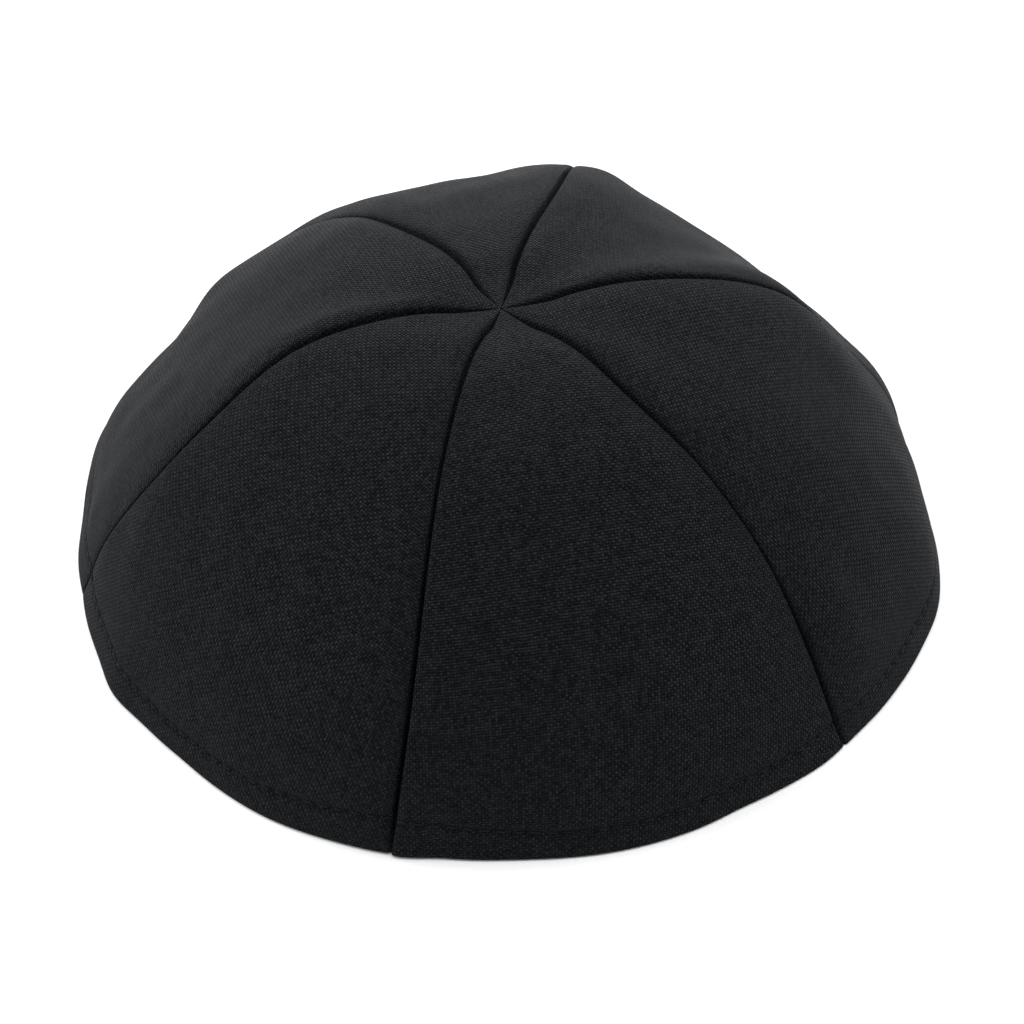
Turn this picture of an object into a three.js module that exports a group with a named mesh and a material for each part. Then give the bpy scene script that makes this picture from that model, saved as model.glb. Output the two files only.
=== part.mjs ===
// Six-panel kippah of black woven suiting cloth, lying on a flat surface by itself.
// Six shaped panels are sewn edge to edge along seams that meet in a point at the crown.
// The rim is a turned-in hem. Each panel is one curved wall, open underneath like the real cap.
// Millimetres, +Z up, front towards -Y. The rim stands on z = 0, centred on the origin.

import * as THREE from 'three';

// Driving sizes
const CROWN_HEIGHT = 58.1; // of the crown point, which lies in a slight hollow
const CROWN_AXIS = { x: -1.17, y: -1.65 }; // the crown point stands a little off the rim's centre
const CROWN_SLOPE = { rise: 0.086, x: -0.063, y: -0.027 }; // the cloth swells away from that point
const CLOTH = 1.5; // panel cloth with its fused interlining
const HEM = { width: 6, extra: 0.7 }; // the edge is turned in, so the rim is thicker
const ALLOWANCE = { width: 5, extra: 0.6 }; // cloth turned back behind each seam
const SEAM_GAP = 0.3; // between the walls of two sewn panels
const SEAM_GROOVE = { depth: 0.9, width: 2.0 }; // the stitching draws each panel's edge in
const TIP_RADIUS = 1.5; // the panels' points stop this far from the crown's axis
const RIDGE_POWER = 1.7; // above 1 the seams are soft ridges, and larger makes them broader

// Fineness of the faceted walls
const ROWS = 19; // steps from the crown to the top of the hem
const HEM_STEPS = [3.3, 1.2, 0]; // heights above the rim of the rows on the hem
const EDGE_STEPS = [0, 0.5, 1.1, 2.0, 5.0]; // distances in from a seam
const MIDDLE_STEPS = 7; // steps across the rest of a panel
const RUN_STEPS = 400; // steps in which a rib's length is measured

// Rows of a short table as objects with named columns
const table = (columns, rows) =>
  rows.map((row) => Object.fromEntries(columns.map((name, i) => [name, row[i]])));

// The form hangs on twelve ribs, a seam and a panel's middle in turn, each one cubic Bezier
// curve from the crown point down to the rim.
//   azimuth  degrees round from the front towards +X
//   rim      radius of the rim there, from the crown's axis
//   crown    how far the flat top reaches, as a share of rim
//   wall     how high the side begins to drop, as a share of the crown's height
//   lean     how far the side leans in at that height, as a share of rim
//   bow      sideways bend of a seam at its middle, and wave the size of its S-bend
const RIBS = table(
  ['place', 'azimuth', 'rim', 'crown', 'wall', 'lean', 'bow', 'wave'],
  [
    ['front_left_seam', -12.5, 86.5, 0.36, 0.75, 0.105, -1.0, -1.4],
    ['front_middle', 15.8, 86.5, 0.53, 0.48, 0.09, 0, 0],
    ['front_right_seam', 47.3, 86.9, 0.55, 0.45, 0.138, 2.3, -0.3],
    ['right_middle', 75.8, 90.5, 0.53, 0.49, 0.084, 0, 0],
    ['right_seam', 104.1, 88.1, 0.69, 0.54, 0.114, 1.9, 1.8],
    ['back_right_middle', 135.8, 87.9, 0.49, 0.54, 0.107, 0, 0],
    ['back_right_seam', 165.5, 88.2, 0.65, 0.62, 0.062, -0.1, -1.6],
    ['back_middle', 195.8, 89.1, 0.52, 0.52, 0.083, 0, 0],
    ['back_left_seam', 222.5, 91.8, 0.51, 0.41, 0.109, -0.3, -1.8],
    ['back_left_middle', 255.8, 88.1, 0.48, 0.4, 0.122, 0, 0],
    ['left_seam', 286.1, 86.5, 0.46, 0.66, 0.126, 0.8, -2.9],
    ['front_left_middle', 315.8, 86.7, 0.53, 0.48, 0.09, 0, 0],
  ],
);

// Soft dents and bulges of the lying cloth, each a rounded push along the radius.
//   azimuth  degrees, and along its place on the rib: 0 at the crown, 1 at the rim
//   push     how far, out if positive
//   spread   half width in degrees, and reach half length as a share of the rib
const FOLDS = table(
  ['place', 'azimuth', 'along', 'push', 'spread', 'reach'],
  [
    ['rim_corner_left', -56.9, 1.0, 1.2, 4.6, 0.1],
    ['rim_swell_front_left', -28, 1.0, 0.8, 9, 0.15],
    ['rim_flat_front', 2, 1.0, -0.9, 10, 0.15],
    ['rim_swell_at_front_right_seam', 44, 1.0, 0.8, 6, 0.12],
    ['ridge_by_front_right_seam', 54, 0.8, 1.3, 4.8, 0.22],
    ['valley_in_right_panel', 68, 0.83, -0.9, 5.4, 0.22],
    ['rim_dent_right', 91, 1.03, -1.5, 9, 0.14],
    ['swell_over_right_rim', 108.6, 0.88, 1.4, 5.6, 0.15],
    ['dent_at_right_seam', 111, 0.63, -2.7, 8.3, 0.12],
    ['dent_back_right', 126, 0.65, -1.7, 6.8, 0.13],
    ['swell_at_back_right_seam', 176, 0.63, 0.6, 9, 0.15],
    ['dent_back', -158.7, 0.59, -1.4, 9, 0.15],
    ['kink_back_left', -120, 0.85, -1.9, 6, 0.12],
    ['swell_back_left', -105, 0.86, 0.8, 7, 0.15],
    ['rim_dent_left', -89, 1.0, -2.2, 9.5, 0.2],
    ['rim_dent_by_left_seam', -75, 0.95, -0.5, 6, 0.15],
  ],
);

const PANELS = ['front', 'right', 'back_right', 'back', 'back_left', 'front_left'];

const cloth = new THREE.MeshStandardMaterial({ color: 0x1b1c1f, roughness: 0.92, metalness: 0 });

const radians = THREE.MathUtils.degToRad;
const lerp = THREE.MathUtils.lerp;

// 1 on a strip along an edge and 0 beyond it, with a rounded step at the strip's side
function strip(distance, width) {
  const [stepStart, stepEnd] = [0.75 * width, 1.15 * width];
  return 1 - THREE.MathUtils.smoothstep(distance, stepStart, stepEnd);
}

// A rib's radius and height at a share of the way down
function ribPoint(rib, along) {
  const { rim, crown, wall, lean } = rib;
  const angle = radians(rib.azimuth);
  const slope = CROWN_SLOPE.rise + CROWN_SLOPE.x * Math.sin(angle) - CROWN_SLOPE.y * Math.cos(angle);
  const up = 1 - along;
  const weights = [up ** 3, 3 * up * up * along, 3 * up * along * along, along ** 3];
  const radii = [0, crown * rim, rim * (1 - lean), rim];
  const heights = [CROWN_HEIGHT, CROWN_HEIGHT + slope * crown * rim, CROWN_HEIGHT * wall, 0];
  const mix = (values) => values.reduce((sum, value, i) => sum + weights[i] * value, 0);
  return { radius: mix(radii), height: mix(heights) };
}

// How far a seam strays sideways from its straight course, running true at both ends
function stray(rib, along) {
  const fullBend = 2.6; // brings the S-bend's peaks to the size of wave
  const turn = Math.PI * along;
  return Math.sin(turn) ** 2 * (rib.bow + fullBend * rib.wave * Math.cos(turn));
}

function foldPush(azimuth, along) {
  return FOLDS.reduce((sum, fold) => {
    const turn = THREE.MathUtils.euclideanModulo(azimuth - fold.azimuth + 180, 360) - 180;
    const across = Math.exp(-((turn / fold.spread) ** 2));
    const down = Math.exp(-(((along - fold.along) / fold.reach) ** 2));
    return sum + fold.push * across * down;
  }, 0);
}

// The cap's outer surface. Position counts panels round from the front left seam, so 0.5 is
// the front panel's middle and 1 the front right seam.
function clothPoint(position, along) {
  const panel = Math.floor(position);
  const share = position - panel;
  const rib = (step) => RIBS[THREE.MathUtils.euclideanModulo(2 * panel + step, RIBS.length)];
  const [seam, middle, next] = [rib(0), rib(1), rib(2)];
  const full = Math.sin(Math.PI * share) ** RIDGE_POWER;
  const here = ribPoint(middle, along);
  const [before, after] = [ribPoint(seam, along), ribPoint(next, along)];
  const turn = THREE.MathUtils.euclideanModulo(next.azimuth - seam.azimuth, 360);
  const azimuth = seam.azimuth + turn * share;
  const radius =
    lerp(lerp(before.radius, after.radius, share), here.radius, full) + foldPush(azimuth, along);
  const height = lerp(lerp(before.height, after.height, share), here.height, full);
  const sideways = (1 - full) * lerp(stray(seam, along), stray(next, along), share);
  const angle = radians(azimuth);
  return new THREE.Vector3(
    CROWN_AXIS.x + radius * Math.sin(angle) + sideways * Math.cos(angle),
    CROWN_AXIS.y - radius * Math.cos(angle) + sideways * Math.sin(angle),
    height,
  );
}

// Outward direction of the cloth, from its run round the cap and down it
function outward(position, along) {
  const [aside, down] = [0.02, 0.01];
  const [above, below] = [Math.max(0, along - down), Math.min(1, along + down)];
  const round = clothPoint(position + aside, along).sub(clothPoint(position - aside, along));
  const fall = clothPoint(position, below).sub(clothPoint(position, above));
  return fall.cross(round).normalize();
}

// The rows of corners from the panels' tips to the rim: each one's share of the way down, and
// its distance from the rim along the cloth
function rowPlaces() {
  const run = [0];
  for (let i = 1; i <= RUN_STEPS; i++) {
    const step = clothPoint(0.5, i / RUN_STEPS).distanceTo(clothPoint(0.5, (i - 1) / RUN_STEPS));
    run.push(run[i - 1] + step);
  }
  const full = run[RUN_STEPS];
  const place = (fromRim) => {
    const along = run.findIndex((length) => length >= full - fromRim) / RUN_STEPS;
    return { along, fromRim };
  };
  const panelRows = Array.from({ length: ROWS + 1 }, (_, i) =>
    place(lerp(full - TIP_RADIUS, HEM.width, i / ROWS)),
  );
  return [...panelRows, ...HEM_STEPS.map(place)];
}

// Distances from the left seam of each column of corners, for a panel of this width. They
// crowd at the seams, and spread evenly where the panel is narrow.
function columnPlaces(width) {
  const evenSteps = 2 * (EDGE_STEPS.length - 1) + MIDDLE_STEPS;
  const left = EDGE_STEPS.map((distance, i) => Math.min(distance, (width * i) / evenSteps));
  const right = left.map((distance) => width - distance).reverse();
  const between = Array.from({ length: MIDDLE_STEPS - 1 }, (_, i) =>
    lerp(left.at(-1), right[0], (i + 1) / MIDDLE_STEPS),
  );
  return [...left, ...between, ...right];
}

// The outer and inner corners of a panel's wall, so far from its left seam on a given row
function wallCorners(index, { along, fromRim }, distance, width) {
  const position = index + (distance + SEAM_GAP / 2) / width;
  const fromSeam = Math.min(distance, width - SEAM_GAP - distance);
  const hem = strip(fromRim, HEM.width);
  const inwards = outward(position, along).negate();
  inwards.setZ(inwards.z * (1 - hem)).normalize(); // level at the hem, so that its foot is flat
  const groove = SEAM_GROOVE.depth * Math.max(0, 1 - fromSeam / SEAM_GROOVE.width) ** 2;
  const thickness =
    CLOTH + HEM.extra * hem + ALLOWANCE.extra * strip(fromSeam, ALLOWANCE.width);
  const skin = clothPoint(position, along);
  return {
    outer: skin.clone().addScaledVector(inwards, groove),
    inner: skin.clone().addScaledVector(inwards, thickness),
  };
}

// One panel: an outer and an inner grid of corners, joined round the four edges
function panelGeometry(index) {
  const rows = rowPlaces();
  const corners = rows.flatMap((row) => {
    const chord = clothPoint(index, row.along).distanceTo(clothPoint(index + 1, row.along));
    const width = (chord * Math.PI) / 3; // a sixth of a round is this much longer than its chord
    return columnPlaces(width - SEAM_GAP).map((distance) => wallCorners(index, row, distance, width));
  });
  const columnsPerRow = corners.length / rows.length;
  const outerAt = (row, column) => row * columnsPerRow + column;
  const innerAt = (row, column) => corners.length + outerAt(row, column);
  const triangles = [];
  const quad = (a, b, c, d) => triangles.push(a, b, c, a, c, d);
  const [lastRow, lastColumn] = [rows.length - 1, columnsPerRow - 1];
  for (let row = 0; row < lastRow; row++) {
    for (let column = 0; column < lastColumn; column++) {
      const square = (at) => [
        at(row, column), at(row + 1, column), at(row + 1, column + 1), at(row, column + 1),
      ];
      quad(...square(outerAt));
      quad(...square(innerAt).reverse());
    }
    quad(innerAt(row, 0), innerAt(row + 1, 0), outerAt(row + 1, 0), outerAt(row, 0));
    quad(
      outerAt(row, lastColumn), outerAt(row + 1, lastColumn),
      innerAt(row + 1, lastColumn), innerAt(row, lastColumn),
    );
  }
  for (let column = 0; column < lastColumn; column++) {
    quad(outerAt(0, column), outerAt(0, column + 1), innerAt(0, column + 1), innerAt(0, column));
    quad(
      outerAt(lastRow, column), innerAt(lastRow, column),
      innerAt(lastRow, column + 1), outerAt(lastRow, column + 1),
    );
  }
  const geometry = new THREE.BufferGeometry();
  geometry.setFromPoints([...corners.map((c) => c.outer), ...corners.map((c) => c.inner)]);
  geometry.setIndex(triangles);
  geometry.computeVertexNormals();
  return geometry;
}

const cap = new THREE.Group();
PANELS.forEach((place, index) => {
  const panel = new THREE.Mesh(panelGeometry(index), cloth);
  panel.name = `${place}_panel`;
  cap.add(panel);
});

export default cap;
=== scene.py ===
# %% [markdown]
# # A six-panel cloth kippah
# This lesson dresses the CAD model of a small round cap. The real cap is sewn from six panels
# of black suiting cloth that meet in a point at the crown. Its edge is turned in and
# topstitched, and it lies flat on its rim by itself, open underneath.
# The CAD solids give the true size and place of each panel. Here every panel is built again
# with its rolled seams, its folded hem and its weave, exactly where its solid lies.

# %% Load the CAD model as a fixed frame
import math

import bpy
import numpy as np
from mathutils import Matrix, Vector


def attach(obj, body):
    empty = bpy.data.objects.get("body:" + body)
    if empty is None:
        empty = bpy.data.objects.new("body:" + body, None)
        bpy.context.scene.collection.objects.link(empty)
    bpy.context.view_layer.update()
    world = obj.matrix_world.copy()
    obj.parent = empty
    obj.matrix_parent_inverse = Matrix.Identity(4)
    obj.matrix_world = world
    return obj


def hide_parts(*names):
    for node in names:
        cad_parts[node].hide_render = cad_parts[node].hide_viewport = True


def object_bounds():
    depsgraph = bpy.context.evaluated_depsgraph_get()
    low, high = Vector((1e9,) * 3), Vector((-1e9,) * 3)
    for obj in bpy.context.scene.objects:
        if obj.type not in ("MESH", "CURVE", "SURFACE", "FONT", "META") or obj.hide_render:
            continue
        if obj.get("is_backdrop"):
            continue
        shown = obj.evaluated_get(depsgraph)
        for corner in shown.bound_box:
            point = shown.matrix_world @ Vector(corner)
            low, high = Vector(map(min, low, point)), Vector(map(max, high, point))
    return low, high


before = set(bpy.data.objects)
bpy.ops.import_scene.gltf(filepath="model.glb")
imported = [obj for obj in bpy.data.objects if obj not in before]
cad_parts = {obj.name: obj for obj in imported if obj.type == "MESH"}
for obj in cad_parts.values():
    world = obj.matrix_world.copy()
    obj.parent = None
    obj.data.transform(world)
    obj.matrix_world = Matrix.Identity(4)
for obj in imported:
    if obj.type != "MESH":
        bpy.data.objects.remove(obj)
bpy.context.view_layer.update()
MM = 0.001  # the tables are in millimetres, and Blender's unit is the metre

# %% [markdown]
# ## The camera
# The photograph looks down on the cap from the front at 46 degrees, from about half a metre.
# The ellipse of the rim gives the angle. The way that the near side looks larger than the far
# side gives the distance, and the width of the picture then gives the lens. The camera was
# held a third of a degree out of level, so it gets a little roll about its own axis.

# %% Place the camera
CAMERA_ELEVATION = math.radians(46.05)
CAMERA_DISTANCE = 481.25 * MM
CAMERA_AIM = Vector((1.13, -0.96, 1.04)) * MM
CAMERA_ROLL = math.radians(0.36)
CAMERA_LENS = 82.3  # mm, on the usual 36 mm sensor

camera_data = bpy.data.cameras.new("photo_camera")
camera_data.lens = CAMERA_LENS
camera_data.clip_start, camera_data.clip_end = 0.01, 20.0
camera = bpy.data.objects.new("photo_camera", camera_data)
backwards = Vector((0, -math.cos(CAMERA_ELEVATION), math.sin(CAMERA_ELEVATION)))
camera.matrix_world = (
    Matrix.Translation(CAMERA_AIM + backwards * CAMERA_DISTANCE)
    @ Matrix.Rotation(math.pi / 2 - CAMERA_ELEVATION, 4, "X")
    @ Matrix.Rotation(CAMERA_ROLL, 4, "Z")
)
bpy.context.scene.collection.objects.link(camera)
bpy.context.scene.camera = camera
print("camera at", [round(c, 3) for c in camera.matrix_world.translation])

# %% [markdown]
# ## Colours and nodes
# Colours are easiest to pick as the hex values of a paint program, but a shader works in
# linear light, so one function turns the first into the second. A material is a tree of nodes.
# A second small function adds a node with its settings and its links, and a third starts an
# empty material, which keeps each one short enough to read.

# %% Helpers for materials
def linear(hex_colour):
    """An sRGB hex colour as the linear red, green, blue and alpha that a socket takes."""
    channels = [int(hex_colour[i : i + 2], 16) / 255 for i in (1, 3, 5)]
    return [c / 12.92 if c <= 0.04045 else ((c + 0.055) / 1.055) ** 2.4 for c in channels] + [1]


def add_node(tree, kind, inputs=(), **settings):
    """Adds a node. Its inputs come by name or in their order, and each is a value to set, an
    output socket to link, or a node whose first output in use is linked."""
    made = tree.nodes.new(kind)
    for name, value in settings.items():
        setattr(made, name, value)
    wanted = inputs if isinstance(inputs, dict) else dict(enumerate(inputs))
    for name, value in wanted.items():
        if isinstance(value, bpy.types.Node):
            value = next(output for output in value.outputs if output.enabled)
        if isinstance(value, bpy.types.NodeSocket):
            tree.links.new(value, made.inputs[name])
        else:
            made.inputs[name].default_value = value
    return made


def new_material(name):
    """An empty node material and its tree."""
    material = bpy.data.materials.new(name)
    material.use_nodes = True
    material.node_tree.nodes.clear()
    return material, material.node_tree


print("black cloth in linear light:", [round(c, 4) for c in linear("#1b1c1f")[:3]])

# %% [markdown]
# ## The floor
# The cap lies on a plain white sweep. A large plane is enough, because the camera sees only
# the middle of it.

# %% Make the floor
FLOOR_SIDE = 8.0
bpy.ops.object.select_all(action="DESELECT")
bpy.ops.mesh.primitive_plane_add(size=FLOOR_SIDE, location=(0, 0, 0))
floor = bpy.context.object
floor.name = "floor"
paper, tree = new_material("matt_white_background_paper")
shader = add_node(
    tree, "ShaderNodeBsdfPrincipled", {"Base Color": linear("#f4f4f3"), "Roughness": 0.9}
)
add_node(tree, "ShaderNodeOutputMaterial", {"Surface": shader})
floor.data.materials.append(paper)
floor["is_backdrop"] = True
print("floor", FLOOR_SIDE, "m wide")

# %% [markdown]
# ## The light
# Black cloth needs broad light from many sides. A wide soft box low behind the cap grazes the
# cloth and draws a pale sheen along its far edge. One overhead models the crown and the seams,
# one on each side brings out the weave, and a pale world fills the shadows.

# %% Set the lights
LIGHTS = [  # name, watts, width and height in metres, place
    ("soft_box_overhead", 12.5, (1.2, 1.2), (0.0, 0.15, 1.3)),
    ("soft_box_behind", 21.0, (2.2, 0.6), (0.0, 1.3, 0.3)),
    ("soft_box_left", 12.5, (1.0, 1.0), (-1.1, 0.3, 0.7)),
    ("soft_box_right", 8.3, (1.0, 1.0), (1.1, 0.3, 0.7)),
]
for name, watts, (wide, high), place in LIGHTS:
    lamp = bpy.data.lights.new(name, "AREA")
    lamp.shape = "RECTANGLE"
    lamp.energy, lamp.size, lamp.size_y = watts, wide, high
    holder = bpy.data.objects.new(name, lamp)
    holder.location = place
    holder.rotation_euler = (-Vector(place)).to_track_quat("-Z", "Y").to_euler()
    bpy.context.scene.collection.objects.link(holder)

WORLD_STRENGTH = 0.42
world = bpy.data.worlds.new("pale_studio")
world.use_nodes = True
world.node_tree.nodes.clear()
sky = add_node(
    world.node_tree, "ShaderNodeBackground",
    {"Color": linear("#fbfcff"), "Strength": WORLD_STRENGTH},
)
add_node(world.node_tree, "ShaderNodeOutputWorld", {"Surface": sky})
bpy.context.scene.world = world
bpy.context.scene.view_settings.view_transform = "Standard"
print(len(LIGHTS), "soft boxes and a pale world")

# %% [markdown]
# ## The form of the cap
# The CAD model hangs the cap on twelve ribs: the six seams and the middles of the six panels.
# Each rib is one Bezier curve from the crown down to the rim. The same short table gives the
# same form here, so that the fine cloth lies where its solid does. Soft dents and bulges of
# the lying cloth come from a second table. Two things are too small for the CAD model and are
# added here: each sewn seam strays a few millimetres sideways from its smooth line, and the
# cloth dips into a shallow dimple where all six seams pull at the crown.
# A rib's row gives its direction, in degrees from the front, and its radius at the rim. Three
# shares follow: how far out the flat top reaches, how high the side begins to drop, and how far
# the side leans in there. Bow and wave bend a seam sideways. A fold's row gives its direction,
# its share of the way down, how far it pushes the cloth out, its half width in degrees and its
# half length as a share of the way down.

# %% The ribs and the folds
RIB_COLUMNS = ("azimuth", "rim", "crown", "wall", "lean", "bow", "wave")
RIB_ROWS = [
    (-12.5, 86.5, 0.36, 0.75, 0.105, -1.0, -1.4),  # front left seam
    (15.8, 86.5, 0.53, 0.48, 0.09, 0, 0),
    (47.3, 86.9, 0.55, 0.45, 0.138, 2.3, -0.3),  # front right seam
    (75.8, 90.5, 0.53, 0.49, 0.084, 0, 0),
    (104.1, 88.1, 0.69, 0.54, 0.114, 1.9, 1.8),  # right seam
    (135.8, 87.9, 0.49, 0.54, 0.107, 0, 0),
    (165.5, 88.2, 0.65, 0.62, 0.062, -0.1, -1.6),  # back right seam
    (195.8, 89.1, 0.52, 0.52, 0.083, 0, 0),
    (222.5, 91.8, 0.51, 0.41, 0.109, -0.3, -1.8),  # back left seam
    (255.8, 88.1, 0.48, 0.4, 0.122, 0, 0),
    (286.1, 86.5, 0.46, 0.66, 0.126, 0.8, -2.9),  # left seam
    (315.8, 86.7, 0.53, 0.48, 0.09, 0, 0),
]
RIBS = dict(zip(RIB_COLUMNS, np.array(RIB_ROWS).T))
FOLD_COLUMNS = ("azimuth", "along", "push", "spread", "reach")
FOLD_ROWS = [
    (-56.9, 1.0, 1.2, 4.6, 0.1),
    (-28, 1.0, 0.8, 9, 0.15),
    (2, 1.0, -0.9, 10, 0.15),
    (44, 1.0, 0.8, 6, 0.12),
    (54, 0.8, 1.3, 4.8, 0.22),
    (68, 0.83, -0.9, 5.4, 0.22),
    (91, 1.03, -1.5, 9, 0.14),
    (108.6, 0.88, 1.4, 5.6, 0.15),
    (111, 0.63, -2.7, 8.3, 0.12),
    (126, 0.65, -1.7, 6.8, 0.13),
    (176, 0.63, 0.6, 9, 0.15),
    (-158.7, 0.59, -1.4, 9, 0.15),
    (-120, 0.85, -1.9, 6, 0.12),
    (-105, 0.86, 0.8, 7, 0.15),
    (-89, 1.0, -2.2, 9.5, 0.2),
    (-75, 0.95, -0.5, 6, 0.15),
    # the rest are dents too small for the CAD model
    (-145, 0.61, 0.5, 6, 0.07),
    (-127, 0.71, 1.1, 4.5, 0.07),
    (-117, 0.76, -0.4, 4, 0.06),
    (-99, 1.0, -0.45, 5, 0.08),
    (-43, 1.0, -0.25, 4, 0.08),
    (-7, 1.0, -0.2, 3, 0.08),
    (31, 1.0, -0.4, 4, 0.08),
    (80, 1.0, -0.45, 6, 0.08),
    (108, 0.89, 0.45, 4, 0.06),
    (159, 0.56, 0.9, 4.5, 0.06),
]
FOLDS = [dict(zip(FOLD_COLUMNS, row)) for row in FOLD_ROWS]
CROWN_HEIGHT = 58.1
CROWN_AXIS = (-1.17, -1.65)  # the crown point stands a little off the rim's centre
CROWN_SLOPE = {"rise": 0.086, "x": -0.063, "y": -0.027}  # the cloth swells away from that point
RIDGE_POWER = 1.7  # above 1 the seams are soft ridges, and larger makes them broader
FULL_BEND = 2.6  # makes the largest swing of an S-bend as long as its wave
STRAY_STEP = 0.125  # share of the way down from one stray to the next
STRAY_START = 0.08  # share of the way down over which the strays grow from nothing
CROWN_DIMPLE = {"depth": 1.2, "reach": 0.1}  # mm, and share of the way down
SEAM_STRAYS = np.array([  # mm that each seam's line strays sideways, from the crown to the rim
    (0, -2.0, -0.6, 0.2, -0.1, -0.6, -0.4, 0, -0.4),  # front left
    (0, 2.8, 0.2, 0.8, 0.3, 0.6, 0.3, 0.7, 0.5),  # front right
    (0, 3.0, 1.9, 3.0, 4.6, 3.4, 2.0, 1.0, 0),  # right
    (0, 1.8, 1.3, 2.0, 1.6, 0.8, 0, 0, 0),  # back right
    (0, -3.8, -1.7, -4.0, -5.5, -3.9, -2.0, -1.0, 0),  # back left
    (0, -1.9, -1.4, -2.3, -0.6, -1.2, -1.6, -2.4, -1.5),  # left
])
print(len(RIB_ROWS), "ribs and", len(FOLDS), "soft folds")

# %% [markdown]
# ## Reading the tables
# Three functions turn the tables into lengths. One follows a rib down from the crown, one says
# how far a sewn seam strays from it, and one adds up what the soft folds do at a place. They
# take whole arrays of places, which is much faster than asking for one point at a time.

# %% Ribs, strays and folds
def rib_curve(index, along):
    """Radius, height and sideways stray of the ribs, at a share of the way down."""
    rib = {name: column[index % len(RIB_ROWS)] for name, column in RIBS.items()}
    angle = np.radians(rib["azimuth"])
    slope = CROWN_SLOPE["rise"] + CROWN_SLOPE["x"] * np.sin(angle) - CROWN_SLOPE["y"] * np.cos(angle)
    up = 1 - along
    start, first, second, end = up**3, 3 * up**2 * along, 3 * up * along**2, along**3
    reach = rib["crown"] * rib["rim"]
    radius = first * reach + second * rib["rim"] * (1 - rib["lean"]) + end * rib["rim"]
    height = CROWN_HEIGHT * (start + first + second * rib["wall"]) + first * slope * reach
    turn = np.pi * along
    stray = np.sin(turn) ** 2 * (rib["bow"] + FULL_BEND * rib["wave"] * np.cos(turn))
    return radius, height, stray


def seam_stray(seam, along):
    """How far a seam's line strays sideways: smooth bumps, one for each place in its row."""
    total = np.zeros(np.broadcast(seam, along).shape)
    for place in range(SEAM_STRAYS.shape[1]):
        off = np.abs(along / STRAY_STEP - place)
        bump = np.where(off < 1, 2 / 3 - off**2 + off**3 / 2, np.clip(2 - off, 0, 1) ** 3 / 6)
        total += SEAM_STRAYS[seam % len(SEAM_STRAYS), place] * bump
    return total * np.clip(along / STRAY_START, 0, 1)


def fold_push(azimuth, along):
    """How far the soft folds push the cloth out along the radius."""
    total = np.zeros(np.broadcast(azimuth, along).shape)
    for fold in FOLDS:
        turn = (azimuth - fold["azimuth"] + 180) % 360 - 180
        across = np.exp(-((turn / fold["spread"]) ** 2))
        total += fold["push"] * across * np.exp(-(((along - fold["along"]) / fold["reach"]) ** 2))
    return total


print("the front panel's middle reaches", rib_curve(1, 1.0)[0].round(1), "mm out at the rim")

# %% [markdown]
# ## One surface for all six panels
# A place on the cap is told by two numbers: how many panels round it is, counted from the
# front left seam, and how far down from the crown. Between its two seams a panel's cloth bulges
# over to its middle rib. One function gives the point at a place. A second gives the direction
# that faces out of the cloth there, from two short steps down and round the cap.

# %% Points on the cloth
def cloth_point(position, along):
    """Points in mm on the cap's outer surface."""
    position, along = np.broadcast_arrays(position, along)
    panel = np.floor(position).astype(int)
    share = position - panel
    full = np.sin(np.pi * share) ** RIDGE_POWER
    before, here, after = (rib_curve(2 * panel + step, along) for step in (0, 1, 2))
    ribs = RIBS["azimuth"]
    start = ribs[(2 * panel) % len(ribs)]
    azimuth = start + (ribs[(2 * panel + 2) % len(ribs)] - start) % 360 * share

    def between(start, end):
        return (1 - share) * start + share * end

    radius = (1 - full) * between(before[0], after[0]) + full * here[0] + fold_push(azimuth, along)
    height = (1 - full) * between(before[1], after[1]) + full * here[1]
    height = height - CROWN_DIMPLE["depth"] * np.exp(-((along / CROWN_DIMPLE["reach"]) ** 2))
    strays = [seam_stray(panel + step, along) for step in (0, 1)]
    aside = (1 - full) * between(before[2] + strays[0], after[2] + strays[1])
    sine, cosine = np.sin(np.radians(azimuth)), np.cos(np.radians(azimuth))
    x = CROWN_AXIS[0] + radius * sine + aside * cosine
    y = CROWN_AXIS[1] - radius * cosine + aside * sine
    return np.stack([x, y, height], -1)


def outward(position, along):
    """Unit normals of the cloth, from its run round the cap and down it."""
    aside, down = 0.01, 0.006  # in panels, and in shares of the way down
    above, below = np.maximum(0, along - down), np.minimum(1, along + down)
    fall = cloth_point(position, below) - cloth_point(position, above)
    round_cap = cloth_point(position + aside, along) - cloth_point(position - aside, along)
    normal = np.cross(fall, round_cap)
    return normal / np.linalg.norm(normal, axis=-1, keepdims=True)


print("front rim point in mm:", cloth_point(0.5, 1.0).round(1))

# %% [markdown]
# ## The pattern pieces
# A tailor cuts each panel flat, and the weave runs straight across that flat piece. So each
# panel is laid flat here too: a grid of points on it is shifted in the plane, round by round,
# until its edges and diagonals have the lengths that they have on the cap. The flat places
# become the panel's UV map, in metres, and the flat outline tells how much cloth was cut.

# %% Lay a panel flat
FLAT_ROWS, FLAT_COLUMNS, FLAT_ROUNDS = 22, 17, 8
TIP_SHARE = 0.02  # the flat grid starts a little below the point, where its columns part
SEAM_SHARE = 0.001  # and just inside its own two seams
FLAT_HOLD = 1e-6  # keeps the grid as a whole from sliding about


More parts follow.
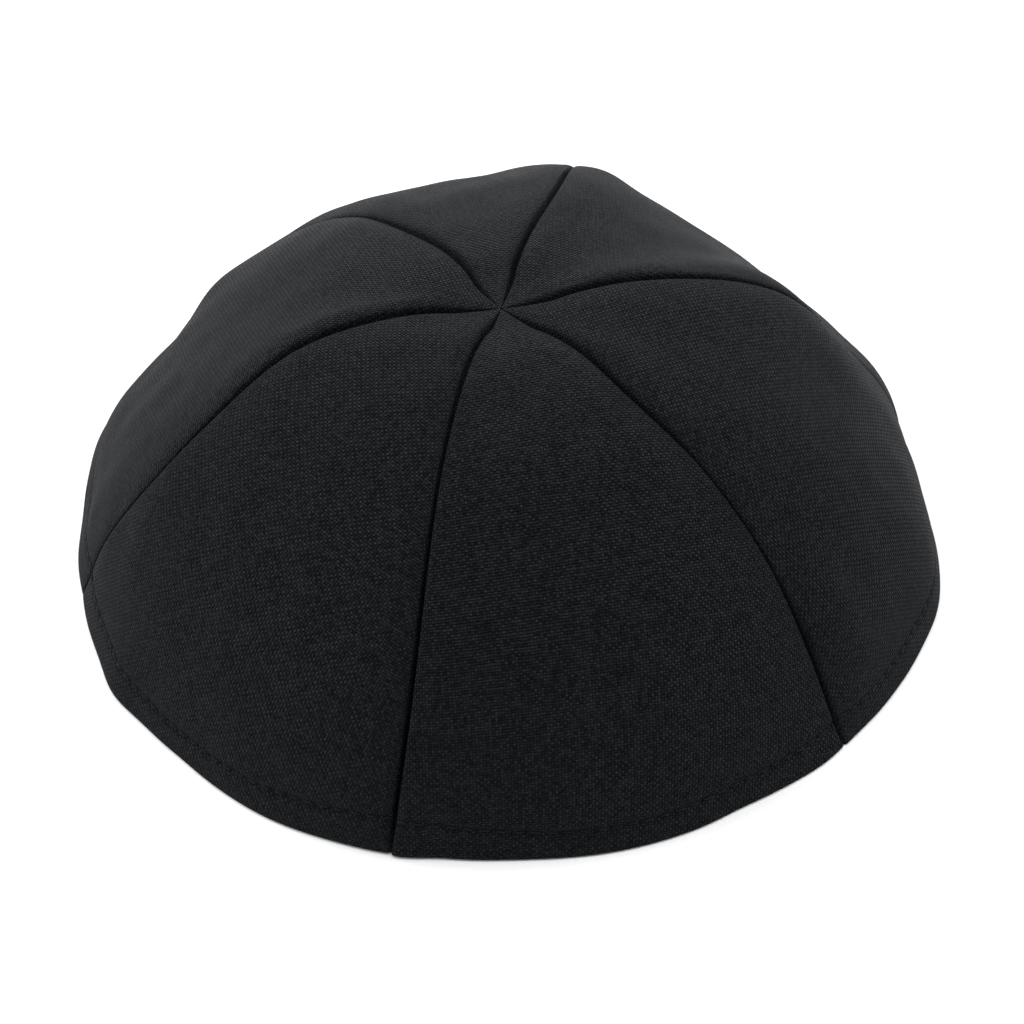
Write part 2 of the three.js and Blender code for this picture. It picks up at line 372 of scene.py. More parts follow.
def lay_flat(panel):
    """Flat places in mm of a grid of points on a panel, its middle line pointing down."""
    shares = np.linspace(SEAM_SHARE, 1 - SEAM_SHARE, FLAT_COLUMNS)
    alongs = np.linspace(TIP_SHARE, 1, FLAT_ROWS)
    grid = cloth_point(panel + shares[None, :], alongs[:, None])
    index = np.arange(FLAT_ROWS * FLAT_COLUMNS).reshape(FLAT_ROWS, FLAT_COLUMNS)
    edges = np.concatenate([
        np.stack([a.ravel(), b.ravel()], 1)
        for a, b in [
            (index[:-1], index[1:]), (index[:, :-1], index[:, 1:]),
            (index[:-1, :-1], index[1:, 1:]), (index[1:, :-1], index[:-1, 1:]),
        ]
    ])
    points = grid.reshape(-1, 3)
    wanted = np.linalg.norm(points[edges[:, 0]] - points[edges[:, 1]], axis=1)
    middle = FLAT_COLUMNS // 2
    steps_down = np.linalg.norm(np.diff(grid[:, middle], axis=0), axis=1)
    steps_across = np.linalg.norm(np.diff(grid, axis=1), axis=2)
    down = np.concatenate([[0], np.cumsum(steps_down)])[:, None]
    across = np.concatenate([np.zeros((FLAT_ROWS, 1)), np.cumsum(steps_across, axis=1)], 1)
    flat = np.stack([across - across[:, middle : middle + 1], -down + 0 * across], 2).reshape(-1, 2)
    start, end = edges.T
    sockets = np.stack([2 * start, 2 * start + 1, 2 * end, 2 * end + 1], 1)
    for _ in range(FLAT_ROUNDS):
        gap = flat[start] - flat[end]
        length = np.linalg.norm(gap, axis=1)
        slope = gap / (length * wanted)[:, None]
        pull = np.concatenate([slope, -slope], 1)
        held = FLAT_HOLD * np.eye(flat.size)
        np.add.at(held, (sockets[:, :, None], sockets[:, None, :]), pull[:, :, None] * pull[:, None])
        push = np.zeros(flat.size)
        np.add.at(push, sockets, pull * ((wanted - length) / wanted)[:, None])
        flat = flat + np.linalg.solve(held, push).reshape(-1, 2)
    flat = flat.reshape(FLAT_ROWS, FLAT_COLUMNS, 2)
    flat = flat - flat[0, middle]
    fall = flat[-1, middle]
    turn = math.atan2(fall[0], -fall[1])
    return flat @ np.array([[math.cos(turn), math.sin(turn)], [-math.sin(turn), math.cos(turn)]])


PANELS = ("front", "right", "back_right", "back", "back_left", "front_left")
FLATS = [lay_flat(panel) for panel in range(len(PANELS))]

# %% [markdown]
# ## Reading the flat panel
# The fine mesh has far more points than the flat grid. Each of them finds its flat place
# between the four nearest points of that grid.

# %% Find a place on the flat panel
def flat_place(flat, share, along):
    """Where places on a panel lie on its flat pattern piece, between the grid's points."""
    row = (along - TIP_SHARE) / (1 - TIP_SHARE) * (FLAT_ROWS - 1)
    column = share * (FLAT_COLUMNS - 1)
    i = np.clip(np.floor(row), 0, FLAT_ROWS - 2).astype(int)
    j = np.clip(np.floor(column), 0, FLAT_COLUMNS - 2).astype(int)
    down, aside = (row - i)[..., None], (column - j)[..., None]
    upper = flat[i, j] * (1 - aside) + flat[i, j + 1] * aside
    lower = flat[i + 1, j] * (1 - aside) + flat[i + 1, j + 1] * aside
    return upper * (1 - down) + lower * down


print("foot of the front panel lies at", flat_place(FLATS[0], np.array(0.5), 1.0).round(1), "mm")

# %% [markdown]
# ## The yarns of the cloth
# The suiting is a plain weave of dyed polyester and viscose yarn. Every warp yarn goes over one
# weft yarn and under the next, so the crossings alternate like a chessboard. The warp runs
# straight down each panel's middle, as a tailor lays a pattern piece, and the yarns lie 0.6 mm
# apart across the panel and 0.54 mm apart down it. An image of cloth could be laid on, but it
# would blur up close. So the yarns are counted across the flat panel, in both directions, and a
# slow noise lets them wander a little from their straight lines.

# %% Count the yarns
WARP = {"degrees": -4.4, "pitch": 0.598}  # the way the yarns are counted on the flat panel
WEFT = {"degrees": 87.7, "pitch": 0.543}
WANDER = 0.3 * MM
WANDER_LENGTH = 6.25 * MM  # of the slow waves in which the yarns wander
suiting, tree = new_material("black_plain_weave_suiting")
flat_map = add_node(tree, "ShaderNodeUVMap", uv_map="cut")
wander = add_node(
    tree, "ShaderNodeTexNoise",
    {"Vector": flat_map, "Scale": 1 / WANDER_LENGTH, "Detail": 2.0}, noise_dimensions="2D",
)
drift = add_node(
    tree, "ShaderNodeVectorMath", (wander.outputs["Color"], (0.5, 0.5, 0.5)), operation="SUBTRACT"
)
woven_place = add_node(
    tree, "ShaderNodeVectorMath", (drift, (WANDER, WANDER, 0), flat_map), operation="MULTIPLY_ADD"
)
counts, waves = [], []
for yarns in (WARP, WEFT):
    angle = math.radians(yarns["degrees"])
    per_metre = 1 / (yarns["pitch"] * MM)
    across = (math.cos(angle) * per_metre, math.sin(angle) * per_metre, 0)
    count = add_node(tree, "ShaderNodeVectorMath", (woven_place, across), operation="DOT_PRODUCT")
    turn = add_node(tree, "ShaderNodeMath", (count, math.pi), operation="MULTIPLY")
    counts.append(count)
    waves.append(add_node(tree, "ShaderNodeMath", (turn,), operation="COSINE"))
print("yarns to the centimetre:", [round(10 / yarns["pitch"], 1) for yarns in (WARP, WEFT)])

# %% [markdown]
# ## Over and under
# Two heights tell it all: how high the warp is at a place, and how high the weft is. The higher
# of the two is the yarn that shows. The product of both waves is a chessboard of hills and
# hollows. On this cloth it lifts only the warp, which bends over a weft that lies nearly
# straight. No two crossings are alike, so chance makes some of them higher.

# %% Heights of the yarns
WARP_CRIMP, WEFT_CRIMP = 2.0, 0.0  # how far each wave of yarn rises, against a yarn's roundness
BOW_SHARE = 0.6  # how much the height of single crossings differs
nearest = [add_node(tree, "ShaderNodeMath", (count,), operation="ROUND") for count in counts]
crossing = add_node(tree, "ShaderNodeCombineXYZ", nearest)
chance = add_node(tree, "ShaderNodeTexWhiteNoise", {"Vector": crossing}, noise_dimensions="2D")
bow = add_node(
    tree, "ShaderNodeMath", (chance, BOW_SHARE, 1 - BOW_SHARE / 2), operation="MULTIPLY_ADD"
)
even_board = add_node(tree, "ShaderNodeMath", waves, operation="MULTIPLY")
chessboard = add_node(tree, "ShaderNodeMath", (even_board, bow), operation="MULTIPLY")
heights = []
for wave, crimp in zip(waves, (WARP_CRIMP, -WEFT_CRIMP)):
    ridge = add_node(tree, "ShaderNodeMath", (wave, wave), operation="MULTIPLY")
    heights.append(
        add_node(tree, "ShaderNodeMath", (chessboard, crimp, ridge), operation="MULTIPLY_ADD")
    )
relief = add_node(tree, "ShaderNodeMath", heights, operation="MAXIMUM")
warp_shows = add_node(tree, "ShaderNodeMath", heights, operation="GREATER_THAN")
print("the warp rises to about", 1 + WARP_CRIMP, "times the height of the weft")

# %% [markdown]
# ## Colour of the cloth, with painted shade
# The base colour follows the height of the yarns: painted shade darkens the pits between them,
# and painted light brightens the high floats. Each yarn is spun a little unevenly, so its tone
# drifts slowly along it and jumps from yarn to yarn. Each crossing has its own tone too, and
# single fibres add a fine grain. Black suiting has hardly any gloss, so its specular level is
# far under that of a plastic. What shines on it at grazing angles are the tips of its fibres,
# and the shader's sheen stands for them.

# %% Shade and finish the cloth
SLUB_STEP = 0.1  # how far the noise moves on from one crossing to the next along a yarn
FIBRE_LENGTH = 0.3125 * MM
PAINTED_FLOAT_LIGHT, PAINTED_PIT_SHADE = 0.66, 0.18  # painted light on a high float and painted shade in a pit, between the two colours
SLUB_SHARE, FIBRE_SHARE, FLOAT_SHARE = 1.2, 0.8, 0.8  # how much yarns, fibres and floats vary
YARN_RELIEF = 0.18 * MM
slubs = []
for across, along in (counts, counts[::-1]):
    slow = add_node(tree, "ShaderNodeMath", (along, SLUB_STEP), operation="MULTIPLY")
    place = add_node(tree, "ShaderNodeCombineXYZ", (across, slow))
    slubs.append(
        add_node(tree, "ShaderNodeTexNoise", {"Vector": place, "Scale": 1.0}, noise_dimensions="2D")
    )
slub = add_node(
    tree, "ShaderNodeMix", {"Factor": warp_shows, "A": slubs[1], "B": slubs[0]}, data_type="FLOAT"
)
fibres = add_node(
    tree, "ShaderNodeTexNoise",
    {"Vector": flat_map, "Scale": 1 / FIBRE_LENGTH, "Detail": 1.0}, noise_dimensions="2D",
)
# painted shade and painted light from the height of the yarns: near black in the pits, lighter on
# the floats
painted_shade_gain = (PAINTED_FLOAT_LIGHT - PAINTED_PIT_SHADE) / (1 + WARP_CRIMP)
painted_shade_and_tone = add_node(
    tree, "ShaderNodeMath", (relief, painted_shade_gain, PAINTED_PIT_SHADE), operation="MULTIPLY_ADD"
)
# the random tone of yarns, fibres and crossings then multiplies the painted shade
for chances, share in ((slub, SLUB_SHARE), (fibres, FIBRE_SHARE), (chance, FLOAT_SHARE)):
    uneven = add_node(
        tree, "ShaderNodeMath", (chances, share, 1 - share / 2), operation="MULTIPLY_ADD"
    )
    painted_shade_and_tone = add_node(tree, "ShaderNodeMath", (painted_shade_and_tone, uneven), operation="MULTIPLY")
# the base colour carries the painted shade, from the near black painted in the pits to the yarn's
# own black
cloth_colour_and_painted_shade = add_node(
    tree, "ShaderNodeMix",
    {"Factor": painted_shade_and_tone, "A": linear("#010101"), "B": linear("#34363a")}, data_type="RGBA",
)
bump = add_node(
    tree, "ShaderNodeBump", {"Height": relief, "Strength": 1.0, "Distance": YARN_RELIEF}
)
shader = add_node(
    tree, "ShaderNodeBsdfPrincipled",
    {
        "Base Color": cloth_colour_and_painted_shade, "Roughness": 0.45, "Specular IOR Level": 0.006,
        "Sheen Weight": 0.045, "Sheen Roughness": 0.3, "Sheen Tint": linear("#eef1f6"),
        "Normal": bump,
    },
)
add_node(tree, "ShaderNodeOutputMaterial", {"Surface": shader})
print("suiting has", len(tree.nodes), "nodes")

# %% [markdown]
# ## Rolled seams
# On a sewn seam both cloths turn down over a round shoulder into a narrow cleft, where the
# stitching holds them, and a soft hollow runs on either side. How tight the seam is pulled
# differs from seam to seam and along each one, so a short table tells it at six places. On the
# two front seams one panel sinks more than its neighbour, whose edge then stands proud. A
# displaced texture could press the seams in, but only a true slit goes dark as the real one does.

# %% Sizes of the seams
ROLL = {"depth": 0.9, "width": 1.7}  # of the rolled edge
PULL = {"depth": 0.45, "width": 6.0}  # of the soft hollow on either side of it
CLEFT = {"depth": 1.4, "reach": 0.4, "power": 5}  # of the slit between the two panels
SEAM_PLACES = (0.0, 0.2, 0.4, 0.6, 0.8, 1.0)
SEAM_STRENGTHS = [  # how tight each seam is pulled at those shares of the way down
    (1.2, 1.2, 1.3, 1.5, 1.6, 1.5),  # front left
    (1.3, 1.3, 0.5, 0.5, 1.5, 1.5),  # front right
    (1.2, 1.3, 0.9, 0.4, 0.4, 0.8),  # right
    (1.2, 1.3, 1.3, 1.0, 1.0, 1.0),  # back right
    (1.2, 1.4, 0.8, 0.5, 0.6, 0.8),  # back left
    (1.3, 1.9, 1.5, 0.45, 0.4, 0.6),  # left
]
STEP_COLUMNS = ("seam", "start", "end", "before", "after", "depth", "reach")
STEP_ROWS = [  # from start to end the two sides, and the slit between them, grow by these factors
    (0, 0.2, 0.4, 1.15, 0.7, 1.0, 0.75),
    (1, 0.6, 0.8, 0.3, 1.4, 1.2, 0.8),
]
STEPS = [dict(zip(STEP_COLUMNS, row)) for row in STEP_ROWS]


def seam_drop(from_seam, seam, side, along, size):
    """How far the cloth sinks before (0) or after (1) a seam: cleft, shoulder and hollow."""
    seam = seam % len(SEAM_STRENGTHS)
    strength = np.interp(along, SEAM_PLACES, SEAM_STRENGTHS[seam])
    depth, reach = CLEFT["depth"], CLEFT["reach"] * size
    for step in STEPS:
        if step["seam"] == seam:
            grown = np.interp(along, (step["start"], step["end"]), (0, 1))
            strength = strength * (1 + ((step["after"] if side else step["before"]) - 1) * grown)
            depth = depth * (1 + (step["depth"] - 1) * grown)
            reach = reach * (1 + (step["reach"] - 1) * grown)
    rolled = 1 - np.clip(from_seam / (ROLL["width"] * size), 0, 1)
    pulled = 1 - np.clip(from_seam / (PULL["width"] * size), 0, 1)
    cleft = np.exp(-((from_seam / (reach * strength)) ** CLEFT["power"]))
    shoulder = ROLL["depth"] * (1 - np.sqrt(1 - rolled**2))
    return strength * size * (shoulder + PULL["depth"] * pulled**2 + depth * cleft)


print("drop in the front left seam", seam_drop(0.0, 0, 1, 0.5, 1.0).round(2), "mm")

# %% [markdown]
# ## Uneven cloth
# No cloth lies quite smooth. A few slow waves with seeded random directions lift and sink it
# by a tenth of a millimetre, and the topstitching draws in the hem between its stitches.

# %% Ripples
RIPPLE_SEED = 18
RIPPLES = 26
RIPPLE_LENGTHS = (11, 34)  # mm from crest to crest
RIPPLE_HEIGHT = 0.12
RIPPLE_FREE = 3.0  # mm from a seam over which the ripples grow
RIPPLE_CALM = (2.0, 12.0)  # mm from the rim between which they grow
rng = np.random.default_rng(RIPPLE_SEED)
ripple_waves = rng.normal(size=(RIPPLES, 3))
ripple_waves /= np.linalg.norm(ripple_waves, axis=1, keepdims=True)
ripple_waves *= 2 * np.pi / rng.uniform(*RIPPLE_LENGTHS, size=(RIPPLES, 1))
ripple_phases = rng.uniform(0, 2 * np.pi, RIPPLES)


def ripple(points, from_seam, from_rim):
    """A slow unevenness in mm, of a place on the cap. The seams and the rim run true."""
    swell = np.sin(points @ ripple_waves.T + ripple_phases).sum(-1)
    grown = np.clip((from_rim - RIPPLE_CALM[0]) / (RIPPLE_CALM[1] - RIPPLE_CALM[0]), 0, 1)
    grown = grown * np.clip(from_seam / RIPPLE_FREE, 0, 1)
    return RIPPLE_HEIGHT * grown * swell / math.sqrt(RIPPLES / 2)


print(RIPPLES, "ripples of about", RIPPLE_HEIGHT, "mm")

# %% [markdown]
# ## The topstitched hem
# A lockstitch holds the turned-in edge, 5.4 mm above the rim, with a stitch every 3 mm. The
# needle pulls a small dent at each hole, and the cloth swells a little between them. The run of
# stitches goes once round the cap, so its places are found by length on that line.

# %% Where the stitches go
STITCH_LINE = 5.4
STITCH_PITCH = 3.0
STITCH_DENT = {"depth": 0.25, "reach": 0.5}
STITCH_CHANNEL = {"depth": 0.25, "reach": 0.7}
LENGTH_STEPS = 2000
RUN_STEPS = 6000

shares = np.linspace(0, 1, LENGTH_STEPS + 1)
steps = np.linalg.norm(np.diff(cloth_point(0.5, shares), axis=0), axis=1)
panel_run = np.concatenate([[0], np.cumsum(steps)])
panel_length = panel_run[-1]
stitch_along = np.interp(panel_length - STITCH_LINE, panel_run, shares)
round_places = np.linspace(0, len(PANELS), RUN_STEPS + 1)
steps = np.linalg.norm(np.diff(cloth_point(round_places, stitch_along), axis=0), axis=1)
round_run = np.concatenate([[0], np.cumsum(steps)])
STITCHES = round(round_run[-1] / STITCH_PITCH)
stitch_phase = round_run / round_run[-1] * STITCHES


def stitch_sink(position, from_rim):
    """How far the topstitching draws the cloth in, in mm."""
    phase = np.interp(position % len(PANELS), round_places, stitch_phase)
    from_hole = np.abs(phase - np.round(phase)) * STITCH_PITCH
    off_line = from_rim - STITCH_LINE
    channel = STITCH_CHANNEL["depth"] * np.exp(-((off_line / STITCH_CHANNEL["reach"]) ** 2))
    hole = np.exp(-((from_hole**2 + off_line**2) / STITCH_DENT["reach"] ** 2))
    return channel + STITCH_DENT["depth"] * hole


print(STITCHES, "stitches in", round(float(round_run[-1])), "mm")

# %% [markdown]
# ## A grid that crowds where it is needed
# A panel is a grid of points from the crown to the rim and from seam to seam. Even spacing
# would waste points on the plain middle and leave the seams rough. So the columns crowd at the
# two seams, the rows crowd on the hem, and the last few rows go round the folded edge.

# %% Rows and columns of the fine grid
FOLD_HEIGHT = 0.6  # over which the folded edge rounds off
EDGE_STEPS = [
    0, 0.08, 0.16, 0.24, 0.32, 0.4, 0.5, 0.6, 0.7, 0.82, 0.95, 1.1, 1.3, 1.6, 2.1, 2.8, 3.6,
    4.4, 4.72, 5.08, 5.6,
]
MIDDLE_STEPS = 120
ROWS = 84
TIP_RADIUS = 0.25
HEM_TOP = 8.0  # the even rows of the panel end here, and finer ones begin
HEM_STEP = 0.36
FOLD_ANGLES = [75, 60, 45, 30, 15, 0]  # degrees round the folded edge, 0 at its foot


def row_places():
    """Share of the way down of each row, and its distance from the rim along the cloth."""
    from_rim = np.concatenate([
        np.linspace(panel_length - TIP_RADIUS, HEM_TOP, ROWS),
        np.arange(HEM_TOP - HEM_STEP, FOLD_HEIGHT, -HEM_STEP),
        FOLD_HEIGHT * (1 - np.cos(np.radians(FOLD_ANGLES))),
    ])
    return np.interp(panel_length - from_rim, panel_run, shares), from_rim


def column_places(width):
    """Distances from the left seam of the columns of a row, which crowd at both seams."""
    count = 2 * (len(EDGE_STEPS) - 1) + MIDDLE_STEPS
    left = np.minimum(EDGE_STEPS, width * np.arange(len(EDGE_STEPS)) / count)
    right = width - left[::-1]
    between = np.linspace(left[-1], right[0], MIDDLE_STEPS + 1)[1:-1]
    return np.concatenate([left, between, right])


row_along, row_from_rim = row_places()
print(len(row_along), "rows of", len(column_places(80.0)), "columns")

# %% [markdown]
# ## Tucks at the foot of the seams
# Where the hem crosses a seam there are six layers of cloth, and they never lie quite flush. At
# the foot of the two front seams one panel's hem stands out a little further than the next
# one's, so a short table lifts it there.

# %% Lift the tucks
TUCK_COLUMNS = ("seam", "side", "push", "across", "up")
TUCK_ROWS = [  # side 1 is the panel after the seam and 0 the one before, sizes in mm
    (0, 1, 0.75, 6, 14),
    (0, 0, 0.3, 12, 14),
    (1, 0, 0.3, 8, 9),
    (1, 1, 0.5, 7, 9),
]
TUCKS = [dict(zip(TUCK_COLUMNS, row)) for row in TUCK_ROWS]


def tuck_push(index, from_left, from_right, from_rim):
    """How far the tucks at the foot of its two seams push a panel out, in mm."""
    total = 0 * from_left
    for tuck in TUCKS:
        if (tuck["seam"] - index + tuck["side"]) % len(PANELS) != 1:
            continue
        from_seam = from_left if tuck["side"] else from_right
        across = np.exp(-((from_seam / tuck["across"]) ** 2))
        total = total + tuck["push"] * across * np.exp(-((from_rim / tuck["up"]) ** 2))
    return total


print(len(TUCKS), "tucks of up to", max(tuck["push"] for tuck in TUCKS), "mm")

# %% [markdown]
# ## How thick the cloth is
# The suiting and its interlining are 1.5 mm thick together. Behind a seam 5 mm of each panel is
# turned back, and at the rim the cloth is folded in, so the wall is thicker in both places.
# Solidify would give a wall from one sheet, but with the same thickness all over.

# %% Sizes of the wall
CLOTH = 1.5
HEM = {"width": 6.4, "extra": 0.7}
ALLOWANCE = {"width": 4.9, "extra": 0.6}
STEP = 0.35  # how quickly the wall grows at the turned-in edges
SEAM_GAP = 0.04
LEAST_WALL = 0.35  # behind the foot of a cleft
TIP_WIDTH = 9.0  # a narrower part of a panel, near the crown, has smaller shoulders
UPRIGHT = {"from": 4.5, "over": 2.4}  # mm above the rim, below which the wall stands upright
RIM_SWELL = {"push": 0.3, "reach": 3.0}
HEM_HOLD = {"share": 0.92, "reach": 2.5}  # the folded edge lets the seams sink less


def strip(distance, width):
    """1 on a strip along an edge and 0 beyond it."""
    return 1 - np.clip((distance - width) / STEP + 0.5, 0, 1)


print("wall at the hem", CLOTH + HEM["extra"], "mm, at the seams", CLOTH + ALLOWANCE["extra"], "mm")

# %% [markdown]
# ## The wall of a panel
# Now the steps come together. Starting from the smooth surface, each point of a panel is moved
# inwards by the seams and the stitches, and outwards by the tucks and ripples. The inner face
# lies one cloth's thickness behind, and at the foot of the hem both meet in a round edge, which
# the cap stands on. Beside a seam the wall is as deep as the cleft, so that nothing opens
# between two panels.

# %% Shape a panel's wall
def panel_wall(index):
    """Outer and inner points in mm of a panel, their flat places and their shares across."""
    along = row_along[:, None]
    from_rim = row_from_rim[:, None]
    chord = np.linalg.norm(
        cloth_point(index, row_along) - cloth_point(index + 1, row_along), axis=-1
    )
    width = (chord * math.pi / 3)[:, None]
    from_left = np.array([column_places(w - SEAM_GAP) for w in width[:, 0]])
    from_right = width - SEAM_GAP - from_left
    from_seam = np.minimum(from_left, from_right)
    share = (from_left + SEAM_GAP / 2) / width
    position = index + share
    skin = cloth_point(position, along)
    inwards = -outward(position, along)
    inwards[..., 2] *= np.clip((from_rim - UPRIGHT["from"]) / UPRIGHT["over"], 0, 1)
    inwards /= np.linalg.norm(inwards, axis=-1, keepdims=True)
    size = np.minimum(1, width / TIP_WIDTH)
    hold = 1 - HEM_HOLD["share"] * np.exp(-((from_rim / HEM_HOLD["reach"]) ** 2))
    drop, next_drop = (
        hold * np.maximum(
            seam_drop(from_left, index, side, along, size),
            seam_drop(from_right, index + 1, 1 - side, along, size),
        )
        for side in (1, 0)
    )
    swell = RIM_SWELL["push"] * np.exp(-((from_rim / RIM_SWELL["reach"]) ** 2))
    moved = swell + tuck_push(index, from_left, from_right, from_rim)
    moved = moved + ripple(skin, from_seam, from_rim)
    sunk = drop + stitch_sink(position, from_rim)
    thickness = CLOTH + HEM["extra"] * strip(from_rim, HEM["width"])
    thickness = thickness + ALLOWANCE["extra"] * strip(from_seam, ALLOWANCE["width"])
    thickness = np.maximum(thickness, np.maximum(sunk, next_drop) + LEAST_WALL)
    half = np.sqrt(1 - (1 - np.clip(from_rim / FOLD_HEIGHT, 0, 1)) ** 2)
    middle = (sunk + thickness) / 2
    outer = skin + inwards * (middle - (middle - sunk) * half - moved)[..., None]
    inner = skin + inwards * (middle + (thickness - middle) * half - moved)[..., None]
    flat = flat_place(FLATS[index], share, along + 0 * share)
    flat[..., 0] += np.where(share < 0.5, -1, 1) * drop  # the weave runs on into the seams
    return outer, inner, flat, share


WALLS = [panel_wall(index) for index in range(len(PANELS))]
depths = [np.linalg.norm(inner - outer, axis=-1) for outer, inner, *_ in WALLS]
print("thickest wall", round(max(depth.max() for depth in depths), 1), "mm")

# %% [markdown]
# ## From points to pieces
# A sheet with such a form can't be pulled out of a primitive, so its mesh is written straight
# from the two grids of points. The outer and the inner face share the row at the foot of the
# hem, and narrow strips close the two seam edges and the tip. Where a strip ends at the foot,
# two of its corners are one point, so that point is kept once and the face is a triangle. The
# flat places become the UV map that the weave reads. Smooth shading hides the facets, and stays
# off at the sharp edges.

# %% Make the panels
SHARP_EDGE = math.radians(50)


def make_panel(index):
    """One panel: its outer and inner face joined at the foot of the hem, the seams and the tip."""
    outer, inner, flat, _ = WALLS[index]
    rows, columns = outer.shape[:2]
    count = rows * columns
    points = np.concatenate([outer.reshape(-1, 3), inner[:-1].reshape(-1, 3)]) * MM
    out_at = np.arange(count).reshape(rows, columns)
    in_at = np.concatenate([
        count + np.arange((rows - 1) * columns).reshape(rows - 1, columns), out_at[-1:]
    ])

    def quads(*places):
        return np.stack([place.ravel() for place in places], 1)

    corners = np.concatenate([
        quads(out_at[:-1, :-1], out_at[1:, :-1], out_at[1:, 1:], out_at[:-1, 1:]),
        quads(in_at[:-1, 1:], in_at[1:, 1:], in_at[1:, :-1], in_at[:-1, :-1]),
        quads(in_at[:-1, 0], in_at[1:, 0], out_at[1:, 0], out_at[:-1, 0]),
        quads(out_at[:-1, -1], out_at[1:, -1], in_at[1:, -1], in_at[:-1, -1]),
        quads(out_at[0, :-1], out_at[0, 1:], in_at[0, 1:], in_at[0, :-1]),
    ])
    faces = [list(dict.fromkeys(face)) for face in corners.tolist()]  # some end in one point
    name = f"{PANELS[index]}_panel_cloth"
    mesh = bpy.data.meshes.new(name)
    mesh.from_pydata(points.tolist(), [], faces)
    places = np.concatenate([flat.reshape(-1, 2), flat[:-1].reshape(-1, 2)]) * MM
    layer = mesh.uv_layers.new(name="cut")
    corner_points = np.zeros(len(mesh.loops), int)
    mesh.loops.foreach_get("vertex_index", corner_points)
    layer.data.foreach_set("uv", places[corner_points].ravel())
    panel = bpy.data.objects.new(name, mesh)
    bpy.context.scene.collection.objects.link(panel)
    panel.data.materials.append(suiting)
    return panel


panels = [make_panel(index) for index in range(len(PANELS))]
bpy.ops.object.select_all(action="DESELECT")
for panel in panels:
    panel.select_set(True)
bpy.context.view_layer.objects.active = panels[0]
bpy.ops.object.shade_smooth_by_angle(angle=SHARP_EDGE)
print(sum(len(p.data.polygons) for p in panels), "faces in", len(panels), "panels")

# %% [markdown]
# ## Each panel in place of its solid
# Each panel takes the place of its plain CAD solid, which stays in the model for its weight and
# collision.

# %% Put each panel in place of its solid
for index, panel in enumerate(panels):
    flat = FLATS[index]
    down, across = np.diff(flat, axis=0)[:, :-1], np.diff(flat, axis=1)[:-1]
    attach(panel, "root")
    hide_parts(f"{PANELS[index]}_panel")

# %% [markdown]
# ## The thread
# The hem is sewn with black spun polyester thread, two plies twisted together, which gives it a
# dull, spiral surface. Modelling the plies would take hundreds of faces a stitch. A wave that
# runs slantwise round the rod's UV map draws them as well: in bump, and in colour as painted
# shade, darker in the grooves between the plies.

# %% Twist the thread
PLIES = 2
PLY_TURNS = 8  # turns of the plies over the rod's UV map
PLY_RELIEF = 0.04 * MM
thread_cloth, tree = new_material("black_spun_polyester_thread")
rod_map = add_node(tree, "ShaderNodeUVMap", uv_map="UVMap")
turns = add_node(
    tree, "ShaderNodeVectorMath", (rod_map, (PLIES, PLY_TURNS, 0)), operation="DOT_PRODUCT"
)
turn = add_node(tree, "ShaderNodeMath", (turns, 2 * math.pi), operation="MULTIPLY")
plies = add_node(tree, "ShaderNodeMath", (turn,), operation="COSINE")
# painted shade: the thread's colour is darker in the grooves between the plies
painted_shade_and_tone = add_node(tree, "ShaderNodeMath", (plies, 0.5, 0.5), operation="MULTIPLY_ADD")
ply_colour_and_painted_shade = add_node(
    tree, "ShaderNodeMix",
    {"Factor": painted_shade_and_tone, "A": linear("#060607"), "B": linear("#1b1b1e")}, data_type="RGBA",
)
bump = add_node(
    tree, "ShaderNodeBump", {"Height": plies, "Strength": 1.0, "Distance": PLY_RELIEF}
)
shader = add_node(
    tree, "ShaderNodeBsdfPrincipled",
    {"Base Color": ply_colour_and_painted_shade, "Roughness": 0.5, "Specular IOR Level": 0.1, "Normal": bump},
)
add_node(tree, "ShaderNodeOutputMaterial", {"Surface": shader})
print("thread has", len(tree.nodes), "nodes")

# %% [markdown]
# ## One stitch
# The thread shows as short lengths, one between every two needle holes, whose thin ends dip
# into the cloth. One of them is modelled by hand: a six-sided rod is laid on its side, cut
# across four times, and its ends are narrowed and bent down. Six sides are enough at 0.4 mm.

# %% Model one stitch
THREAD_RADIUS = 0.2
STITCH_SHOWN = 2.4
STITCH_CUTS = 4
STITCH_BOW = 0.3  # how far its ends dip
STITCH_TAPER = 0.4  # how much narrower they are
ROUND_EDGE = math.radians(65)
bpy.ops.object.select_all(action="DESELECT")
bpy.ops.mesh.primitive_cylinder_add(
    vertices=6, radius=THREAD_RADIUS * MM, depth=STITCH_SHOWN * MM,
    rotation=(0, math.pi / 2, 0),
)
stitch = bpy.context.object
bpy.ops.object.transform_apply(location=False, rotation=True, scale=False)
bpy.context.tool_settings.mesh_select_mode = (False, True, False)
bpy.ops.object.mode_set(mode="EDIT")
bpy.ops.mesh.select_all(action="DESELECT")
bpy.ops.object.mode_set(mode="OBJECT")
for edge in stitch.data.edges:
    start, end = (stitch.data.vertices[v].co.x for v in edge.vertices)
    edge.select = abs(end - start) > STITCH_SHOWN * MM / 2
bpy.ops.object.mode_set(mode="EDIT")
bpy.ops.mesh.subdivide(number_cuts=STITCH_CUTS)
bpy.ops.object.mode_set(mode="OBJECT")
for vertex in stitch.data.vertices:
    outwards = abs(vertex.co.x) / (STITCH_SHOWN * MM / 2)
    vertex.co.y *= 1 - STITCH_TAPER * outwards**4
    vertex.co.z *= 1 - STITCH_TAPER * outwards**4
    vertex.co.z -= STITCH_BOW * MM * outwards**2
stitch.data.materials.append(thread_cloth)
bpy.ops.object.shade_smooth_by_angle(angle=ROUND_EDGE)
print("one stitch has", len(stitch.data.polygons), "faces")

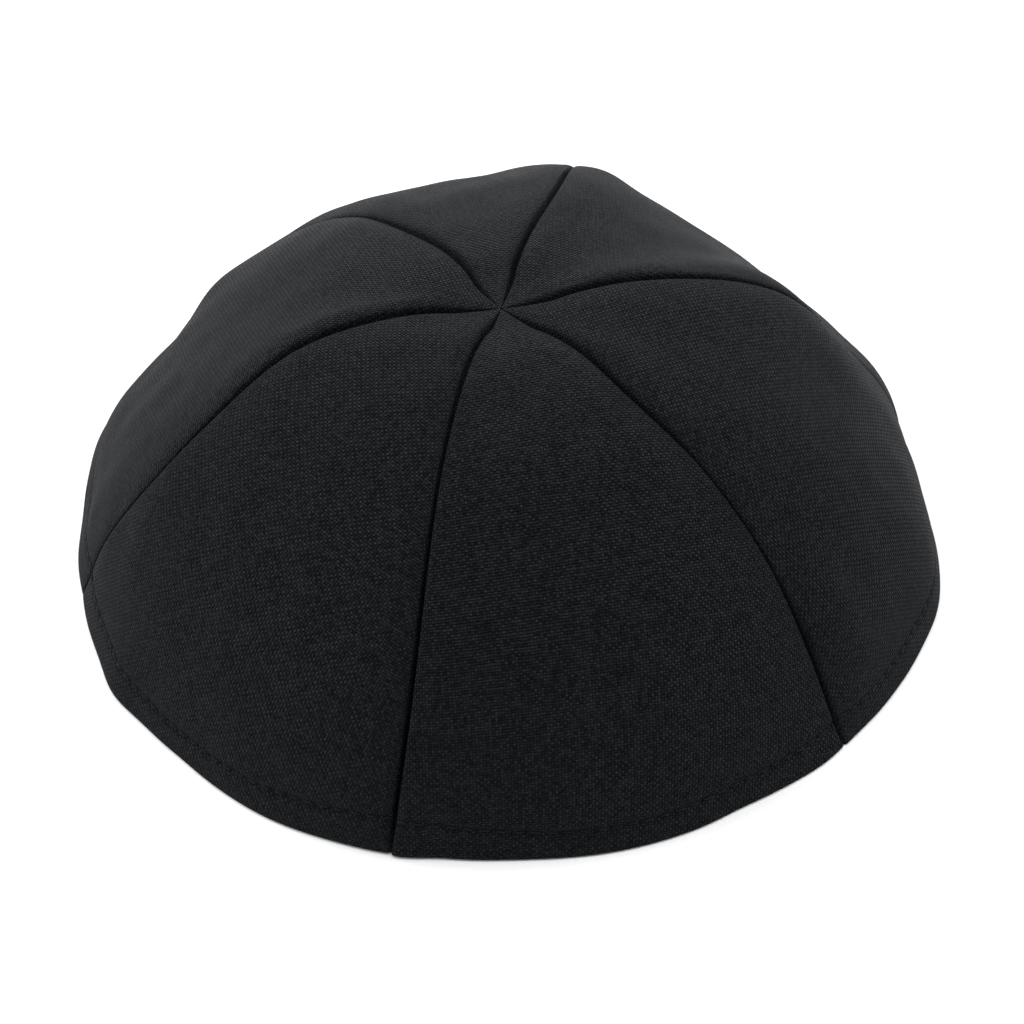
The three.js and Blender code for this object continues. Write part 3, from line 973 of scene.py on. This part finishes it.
# %% [markdown]
# ## All round the hem
# A lockstitch looks the same outside and inside. So the stitch is copied between every two
# needle holes on both faces of the hem. Each copy is turned to lie along its stretch of the
# line and to face away from the cloth, and all of them are joined to one piece of thread.

# %% Sew the hem
STITCH_LIFT = 0.1  # of its middle line over the cloth
NEAR_HOLE = 0.1  # share of a stitch from its holes to where its direction is taken
stitch_row = float(np.interp(-STITCH_LINE, -row_from_rim, np.arange(len(row_from_rim))))


def stitch_point(number, face):
    """A point in mm on the stitching line, on the outer (0) or inner (1) face of the hem."""
    place = float(np.interp(number % STITCHES, stitch_phase, round_places)) % len(PANELS)
    grid, share = WALLS[int(place)][face], WALLS[int(place)][3]
    top = int(stitch_row)
    column = np.interp(place % 1, share[top], np.arange(share.shape[1]))
    left = min(int(column), share.shape[1] - 2)
    down, aside = stitch_row - top, column - left
    upper, lower = grid[top : top + 2, left] * (1 - aside) + grid[top : top + 2, left + 1] * aside
    return Vector(upper * (1 - down) + lower * down), Vector(outward(np.array(place), stitch_along))


stitches = []
for face, side in ((0, 1), (1, -1)):
    for number in range(STITCHES):
        middle, normal = stitch_point(number + 0.5, face)
        start, end = (stitch_point(number + part, face)[0] for part in (NEAR_HOLE, 1 - NEAR_HOLE))
        run = (end - start).normalized()
        across = (side * normal).cross(run).normalized()
        up = run.cross(across)
        turned = Matrix((run, across, up)).transposed().to_4x4()
        copy = bpy.data.objects.new("stitch", stitch.data.copy())
        copy.data.transform(Matrix.Translation((middle + up * STITCH_LIFT) * MM) @ turned)
        bpy.context.scene.collection.objects.link(copy)
        stitches.append(copy)
bpy.data.objects.remove(stitch)
bpy.ops.object.select_all(action="DESELECT")
for copy in stitches:
    copy.select_set(True)
bpy.context.view_layer.objects.active = stitches[0]
bpy.ops.object.join()
topstitch = bpy.context.object
topstitch.name = topstitch.data.name = "hem_topstitch_thread"
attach(topstitch, "root")
print(len(stitches), "stitches of", len(topstitch.data.polygons) // len(stitches), "faces")

# %% [markdown]
# The box of the finished cap is printed in millimetres.

# %% Print the size of the finished cap
low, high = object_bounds()
print("visual box in mm:", [round((b - a) / MM, 1) for a, b in zip(low, high)])
